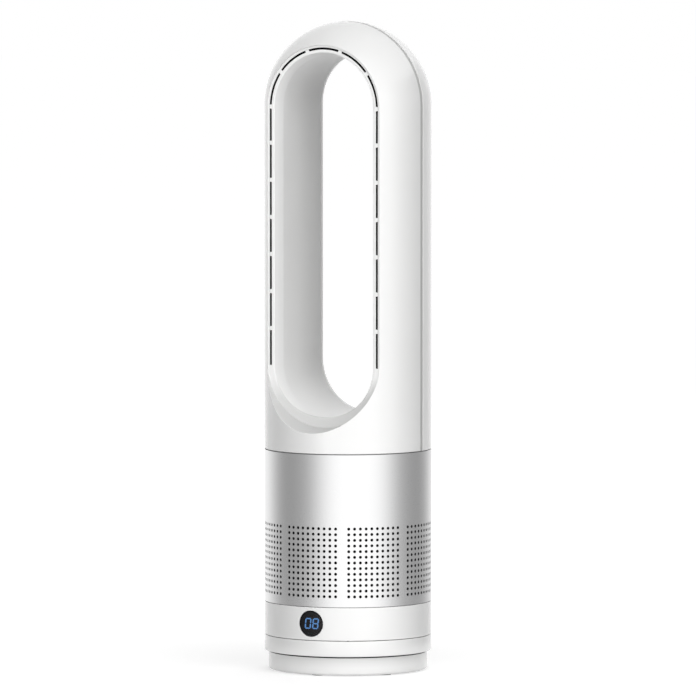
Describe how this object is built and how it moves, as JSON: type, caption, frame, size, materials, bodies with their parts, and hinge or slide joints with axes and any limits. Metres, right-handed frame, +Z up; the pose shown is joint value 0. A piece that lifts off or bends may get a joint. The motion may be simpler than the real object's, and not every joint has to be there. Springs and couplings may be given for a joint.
{
  "type": "bladeless fan",
  "caption": "Capsule-shaped bladeless tower fan: ring nozzle round a tall stadium opening, perforated intake column, round display, swings on a fixed foot.",
  "frame": {"origin": "centre of the footprint, on the floor under the rubber pads", "axes": "+Z up along the column's axis; the front, with the display and the air slots, faces -Y"},
  "size_m": [0.167, 0.167, 0.65],
  "materials": {
    "white_plastic": "satin",
    "sleeve_aluminium": "satin",
    "rubber": "matte",
    "foam": "matte",
    "acetal": "satin",
    "steel": "satin",
    "zinc_steel": "satin",
    "lamination_steel": "satin",
    "magnet": "satin",
    "copper": "satin",
    "circuit_board": "satin",
    "black_plastic": "satin",
    "grey_plastic": "satin",
    "carrier_alloy": "satin",
    "lens": "gloss",
    "lit_digits": "satin"
  },
  "bodies": {
    "foot": {"foot_shell": "white_plastic", "foot_cover": "white_plastic", "cover_screws": "steel", "rubber_feet": "rubber", "slide_ring": "acetal", "gear_sector": "acetal", "gear_screws": "steel", "dc_inlet": "black_plastic", "inlet_pin": "steel", "power_lead": "black_plastic"},
    "turret": {"turntable": "white_plastic", "hub_retainer": "acetal", "retainer_screws": "steel", "swing_motor": "zinc_steel", "swing_motor_screws": "steel", "main_board": "circuit_board", "board_components": "black_plastic", "board_socket": "black_plastic", "board_screws": "steel", "control_housing": "white_plastic", "housing_screws": "steel", "display_lens": "lens", "digit_block": "black_plastic", "digit_segments": "lit_digits", "display_board": "circuit_board", "intake_sleeve": "sleeve_aluminium", "intake_frame": "grey_plastic", "intake_foam": "foam", "impeller_housing": "grey_plastic", "diffuser": "grey_plastic", "motor_cover": "grey_plastic", "duct_gasket": "rubber", "head_base": "grey_plastic", "neck_screws": "steel", "motor_carrier": "carrier_alloy", "carrier_screws": "steel", "shaft_bearings": "steel", "stator_core": "lamination_steel", "stator_windings": "copper", "head_front_shell": "white_plastic", "head_rear_shell": "white_plastic", "air_nozzle": "white_plastic", "nozzle_seal": "rubber"},
    "pinion": {"pinion": "acetal", "swing_shaft": "steel"},
    "rotor": {"impeller": "grey_plastic", "impeller_nut": "grey_plastic", "motor_shaft": "steel", "rotor_can": "zinc_steel", "rotor_magnets": "magnet"}
  },
  "joints": [
    {"name": "oscillation", "type": "hinge", "parent": "foot", "child": "turret", "pos_m": [0, 0, 0.024], "axis": [0, 0, 1], "range_deg": [-40, 40]},
    {"name": "pinion_spin", "type": "hinge", "parent": "turret", "child": "pinion", "pos_m": [0, 0.045, 0.0225], "axis": [0, 0, 1], "range_deg": [-162, 162]},
    {"name": "impeller_spin", "type": "hinge", "parent": "turret", "child": "rotor", "pos_m": [0, 0, 0.18], "axis": [0, 0, 1], "continuous": true}
  ],
  "couplings": [
    {"joint": "pinion_spin", "follows": "oscillation", "ratio": 4}
  ]
}
